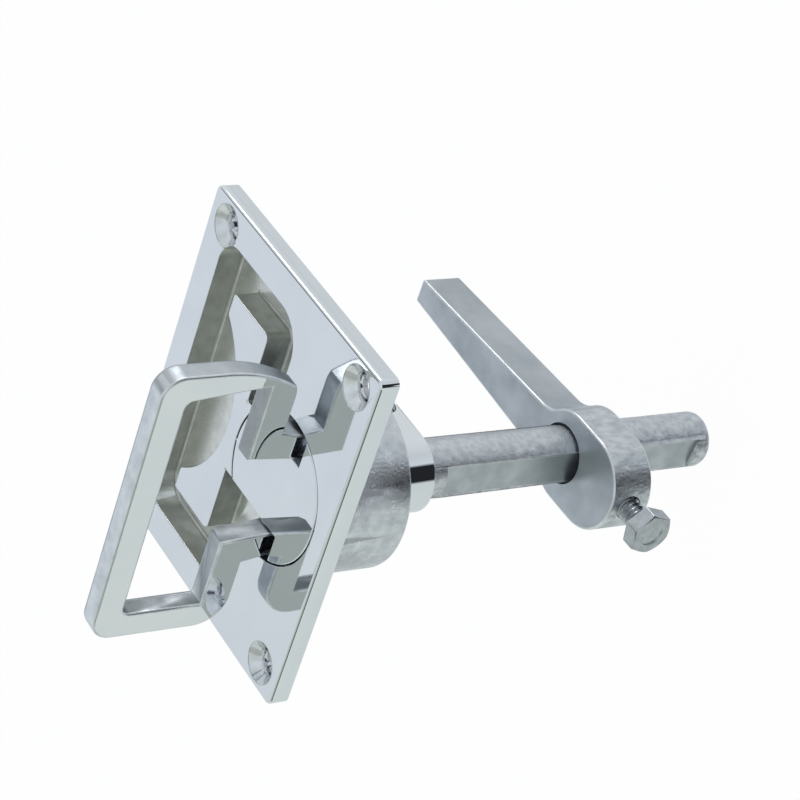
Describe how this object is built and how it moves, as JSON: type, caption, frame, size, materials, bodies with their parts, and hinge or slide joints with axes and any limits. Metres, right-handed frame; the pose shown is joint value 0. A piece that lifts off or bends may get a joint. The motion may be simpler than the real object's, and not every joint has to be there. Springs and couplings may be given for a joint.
{
  "type": "flush hatch latch",
  "caption": "Flush latch for a deck hatch: a plate with a pocketed lift handle hinged in a turning drum, which swings a clamped cam arm on a long shaft below.",
  "frame": {"origin": "centre of the four screw holes, on the seat plane (the underside of the plate's flange)", "axes": "+Z out of the deck along the screws; +X across the hinge, from the folded handle's free bar towards the drum; +Y along the hinge pin"},
  "size_m": [0.0995, 0.0904, 0.161],
  "materials": {
    "polished_plate": "mirror polished stainless steel on the faces seen from above, fine sand-cast below",
    "polished_handle": "mirror polished stainless steel faces, satin edges",
    "polished_collar": "mirror polished stainless steel",
    "cast_shaft": "rough sand-cast stainless steel with two ground flats",
    "satin_casting": "satin cast stainless steel with softly worn edges",
    "plain_bolt": "plain rolled stainless steel",
    "ground_pin": "ground stainless steel",
    "acetal": "machined acetal, off-white",
    "seal_rubber": "black nitrile rubber"
  },
  "bodies": {
    "housing": {"deck_plate": "polished_plate", "neck_bush": "acetal", "thrust_washer": "acetal", "stop_pin": "ground_pin"},
    "rotor": {"rotor_drum": "polished_plate", "drum_o_ring": "seal_rubber", "drive_shaft": "cast_shaft", "shaft_cross_pin": "ground_pin", "shaft_collar": "polished_collar", "collar_screw": "ground_pin"},
    "handle": {"pull_handle": "polished_handle"},
    "pin": {"hinge_pin": "ground_pin"},
    "arm": {"cam_arm": "satin_casting"},
    "bolt": {"clamp_bolt": "plain_bolt"}
  },
  "joints": [
    {"name": "rotor_turn", "type": "hinge", "parent": "housing", "child": "rotor", "pos_m": [0.0147, 0, 0], "axis": [0, 0, 1], "range_deg": [0, 90]},
    {"name": "handle_fold", "type": "hinge", "parent": "rotor", "child": "handle", "pos_m": [0.0147, 0, 0.00055], "axis": [0, 1, 0], "range_deg": [-90, 0]},
    {"name": "pin_float", "type": "hinge", "parent": "rotor", "child": "pin", "pos_m": [0.0147, 0, 0.00055], "axis": [0, 1, 0], "continuous": true},
    {"name": "arm_height", "type": "slide", "parent": "rotor", "child": "arm", "axis": [0, 0, 1], "range_m": [-0.025, 0.035]},
    {"name": "bolt_travel", "type": "slide", "parent": "arm", "child": "bolt", "axis": [1, 0, 0], "range_m": [-0.0025, 0.01]}
  ]
}
